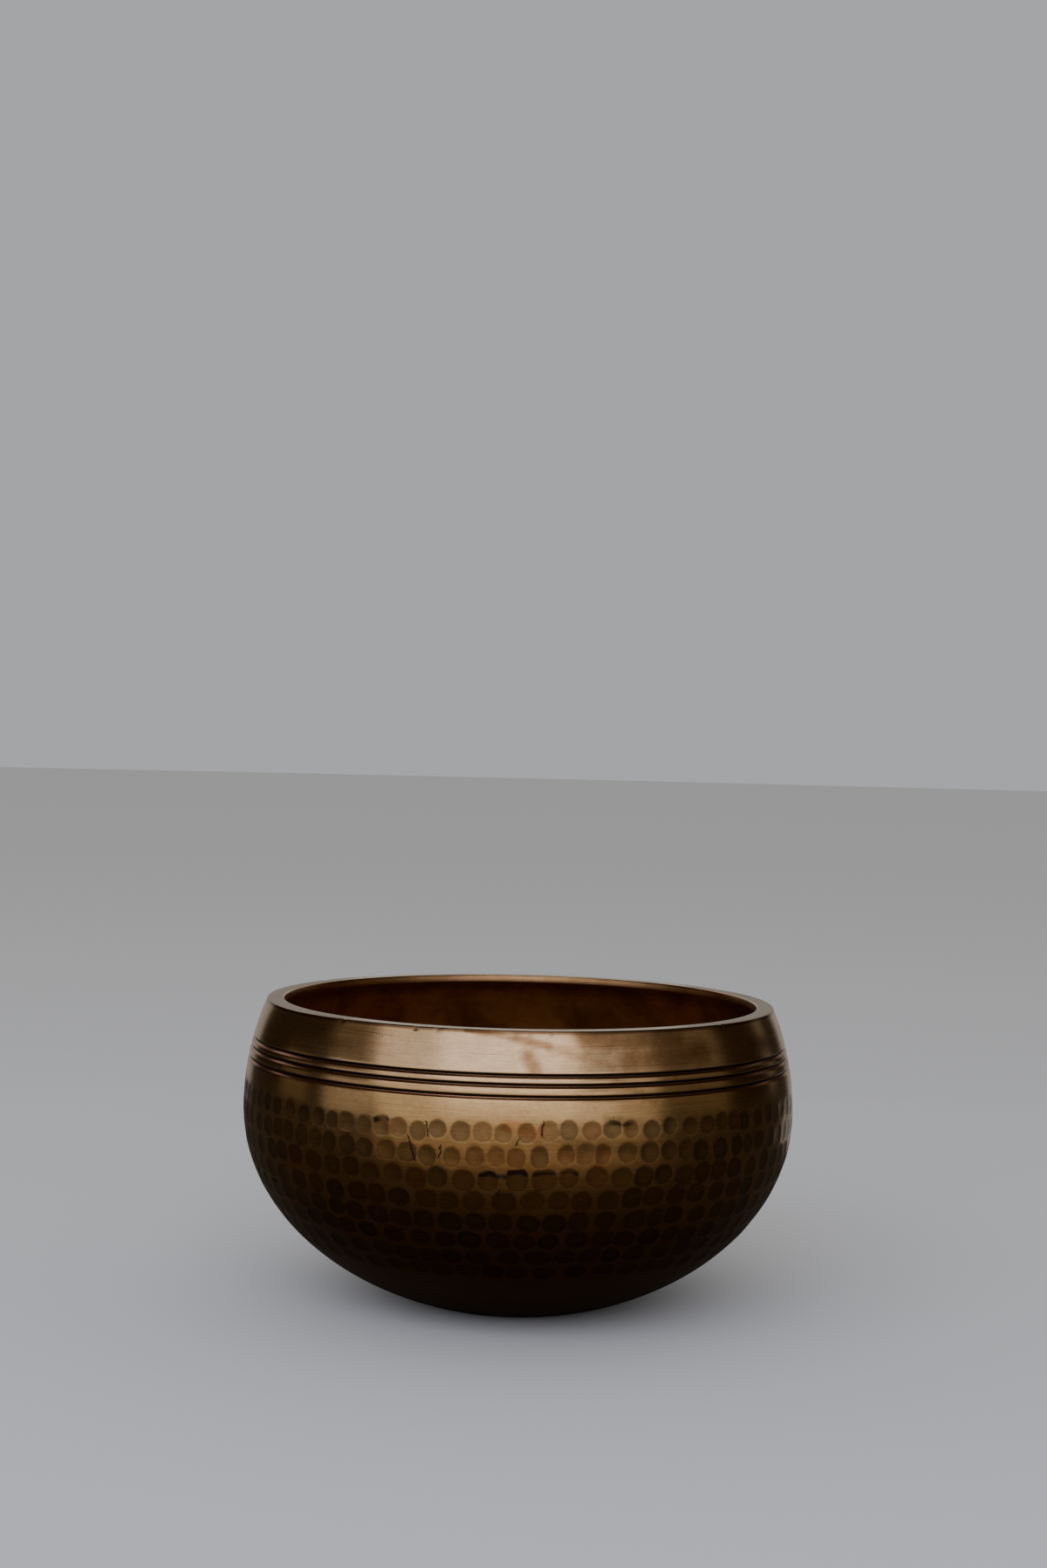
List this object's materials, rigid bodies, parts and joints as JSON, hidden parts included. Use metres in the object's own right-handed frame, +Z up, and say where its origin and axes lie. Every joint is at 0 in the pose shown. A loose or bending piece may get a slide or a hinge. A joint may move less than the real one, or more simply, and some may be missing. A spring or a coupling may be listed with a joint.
{
  "type": "hammered bowl",
  "caption": "Open round bowl in hammered bronze, with a thick flat rim, a turned band with fine grooves, rows of dished hammer marks round the belly and a small flat underside.",
  "frame": {"origin": "centre of the flat underside that the bowl stands on", "axes": "+Z up along the bowl's axis, out of its mouth; -Y is the side that the picture shows"},
  "size_m": [0.14, 0.14, 0.076],
  "materials": {
    "hammered_bronze": "satin, turned above and hammered below, with a thin brown patina"
  },
  "bodies": {
    "root": {"bowl": "hammered_bronze"}
  },
  "joints": []
}
